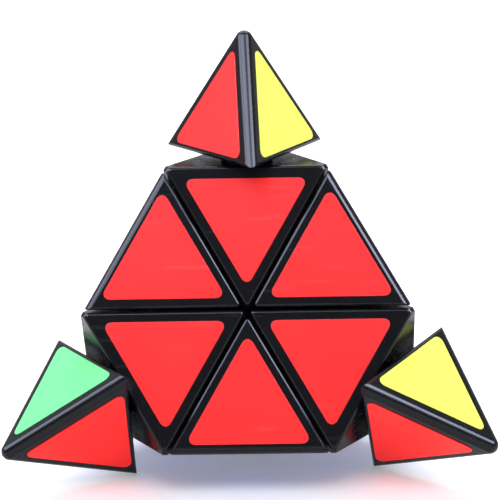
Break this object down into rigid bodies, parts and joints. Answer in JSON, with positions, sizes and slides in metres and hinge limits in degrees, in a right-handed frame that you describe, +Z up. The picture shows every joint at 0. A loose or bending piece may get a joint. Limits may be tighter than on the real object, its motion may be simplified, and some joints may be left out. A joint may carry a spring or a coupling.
{
  "type": "pyramid twisty puzzle",
  "caption": "Tetrahedral twisty puzzle with tips, axial and edge pieces that turn round four axes on a sprung core.",
  "frame": {"origin": "middle of the bottom of the box round the puzzle, under its lowest tip corners", "axes": "+Z up through the top tip, +Y towards the back tip, the front face looks to -Y and up"},
  "size_m": [0.0958, 0.0864, 0.086],
  "materials": {
    "black_plastic": "glossy black moulded plastic of the outer shells",
    "inner_plastic": "satin black moulded plastic of the hubs, feet and tip bases",
    "core_plastic": "dark nylon of the core",
    "steel": "zinc plated steel of the screws, washers and springs",
    "red_vinyl": "satin red vinyl sticker",
    "green_vinyl": "satin green vinyl sticker",
    "yellow_vinyl": "satin yellow vinyl sticker",
    "blue_vinyl": "satin blue vinyl sticker"
  },
  "bodies": {
    "core": {"core": "core_plastic", "screw_top": "steel", "washer_top": "steel", "spring_top": "steel", "screw_left": "steel", "washer_left": "steel", "spring_left": "steel", "screw_right": "steel", "washer_right": "steel", "spring_right": "steel", "screw_back": "steel", "washer_back": "steel", "spring_back": "steel"},
    "axial_top": {"axial_shell_top": "black_plastic", "axial_hub_top": "inner_plastic"},
    "axial_left": {"axial_shell_left": "black_plastic", "axial_hub_left": "inner_plastic"},
    "axial_right": {"axial_shell_right": "black_plastic", "axial_hub_right": "inner_plastic"},
    "axial_back": {"axial_shell_back": "black_plastic", "axial_hub_back": "inner_plastic"},
    "tip_top": {"tip_shell_top": "black_plastic", "tip_base_top": "inner_plastic"},
    "tip_left": {"tip_shell_left": "black_plastic", "tip_base_left": "inner_plastic"},
    "tip_right": {"tip_shell_right": "black_plastic", "tip_base_right": "inner_plastic"},
    "tip_back": {"tip_shell_back": "black_plastic", "tip_base_back": "inner_plastic"},
    "edge_top_left": {"edge_shell_top_left": "black_plastic", "edge_foot_top_left": "inner_plastic"},
    "edge_top_right": {"edge_shell_top_right": "black_plastic", "edge_foot_top_right": "inner_plastic"},
    "edge_top_back": {"edge_shell_top_back": "black_plastic", "edge_foot_top_back": "inner_plastic"},
    "edge_left_right": {"edge_shell_left_right": "black_plastic", "edge_foot_left_right": "inner_plastic"},
    "edge_left_back": {"edge_shell_left_back": "black_plastic", "edge_foot_left_back": "inner_plastic"},
    "edge_right_back": {"edge_shell_right_back": "black_plastic", "edge_foot_right_back": "inner_plastic"}
  },
  "joints": [
    {"name": "turn_layer_top", "type": "hinge", "parent": "core", "child": "axial_top", "pos_m": [0, -0.01145, 0.02829], "axis": [0, 0, 1], "range_deg": [-240, 120]},
    {"name": "turn_layer_left", "type": "hinge", "parent": "core", "child": "axial_left", "pos_m": [0, -0.01145, 0.02829], "axis": [-0.8165, -0.4714, -0.3333], "range_deg": [-240, 120]},
    {"name": "turn_layer_right", "type": "hinge", "parent": "core", "child": "axial_right", "pos_m": [0, -0.01145, 0.02829], "axis": [0.8165, -0.4714, -0.3333], "range_deg": [-240, 120]},
    {"name": "turn_layer_back", "type": "hinge", "parent": "core", "child": "axial_back", "pos_m": [0, -0.01145, 0.02829], "axis": [0, 0.9428, -0.3333], "range_deg": [-240, 120]},
    {"name": "turn_tip_top", "type": "hinge", "parent": "axial_top", "child": "tip_top", "pos_m": [0, -0.01145, 0.02829], "axis": [0, 0, 1], "continuous": true},
    {"name": "turn_tip_left", "type": "hinge", "parent": "axial_left", "child": "tip_left", "pos_m": [0, -0.01145, 0.02829], "axis": [-0.8165, -0.4714, -0.3333], "continuous": true},
    {"name": "turn_tip_right", "type": "hinge", "parent": "axial_right", "child": "tip_right", "pos_m": [0, -0.01145, 0.02829], "axis": [0.8165, -0.4714, -0.3333], "continuous": true},
    {"name": "turn_tip_back", "type": "hinge", "parent": "axial_back", "child": "tip_back", "pos_m": [0, -0.01145, 0.02829], "axis": [0, 0.9428, -0.3333], "continuous": true},
    {"name": "edge_top_left_with_left", "type": "hinge", "parent": "axial_top", "child": "edge_top_left", "pos_m": [0, -0.01145, 0.02829], "axis": [-0.8165, -0.4714, -0.3333], "range_deg": [-240, 120]},
    {"name": "edge_top_right_with_right", "type": "hinge", "parent": "axial_top", "child": "edge_top_right", "pos_m": [0, -0.01145, 0.02829], "axis": [0.8165, -0.4714, -0.3333], "range_deg": [-240, 120]},
    {"name": "edge_top_back_with_back", "type": "hinge", "parent": "axial_top", "child": "edge_top_back", "pos_m": [0, -0.01145, 0.02829], "axis": [0, 0.9428, -0.3333], "range_deg": [-240, 120]},
    {"name": "edge_left_right_with_right", "type": "hinge", "parent": "axial_left", "child": "edge_left_right", "pos_m": [0, -0.01145, 0.02829], "axis": [0.8165, -0.4714, -0.3333], "range_deg": [-240, 120]},
    {"name": "edge_left_back_with_left", "type": "hinge", "parent": "axial_back", "child": "edge_left_back", "pos_m": [0, -0.01145, 0.02829], "axis": [-0.8165, -0.4714, -0.3333], "range_deg": [-240, 120]},
    {"name": "edge_right_back_with_back", "type": "hinge", "parent": "axial_right", "child": "edge_right_back", "pos_m": [0, -0.01145, 0.02829], "axis": [0, 0.9428, -0.3333], "range_deg": [-240, 120]}
  ],
  "couplings": [
    {"joint": "edge_top_left_with_left", "follows": "turn_layer_left", "ratio": 1},
    {"joint": "edge_top_right_with_right", "follows": "turn_layer_right", "ratio": 1},
    {"joint": "edge_top_back_with_back", "follows": "turn_layer_back", "ratio": 1},
    {"joint": "edge_left_right_with_right", "follows": "turn_layer_right", "ratio": 1},
    {"joint": "edge_left_back_with_left", "follows": "turn_layer_left", "ratio": 1},
    {"joint": "edge_right_back_with_back", "follows": "turn_layer_back", "ratio": 1}
  ]
}
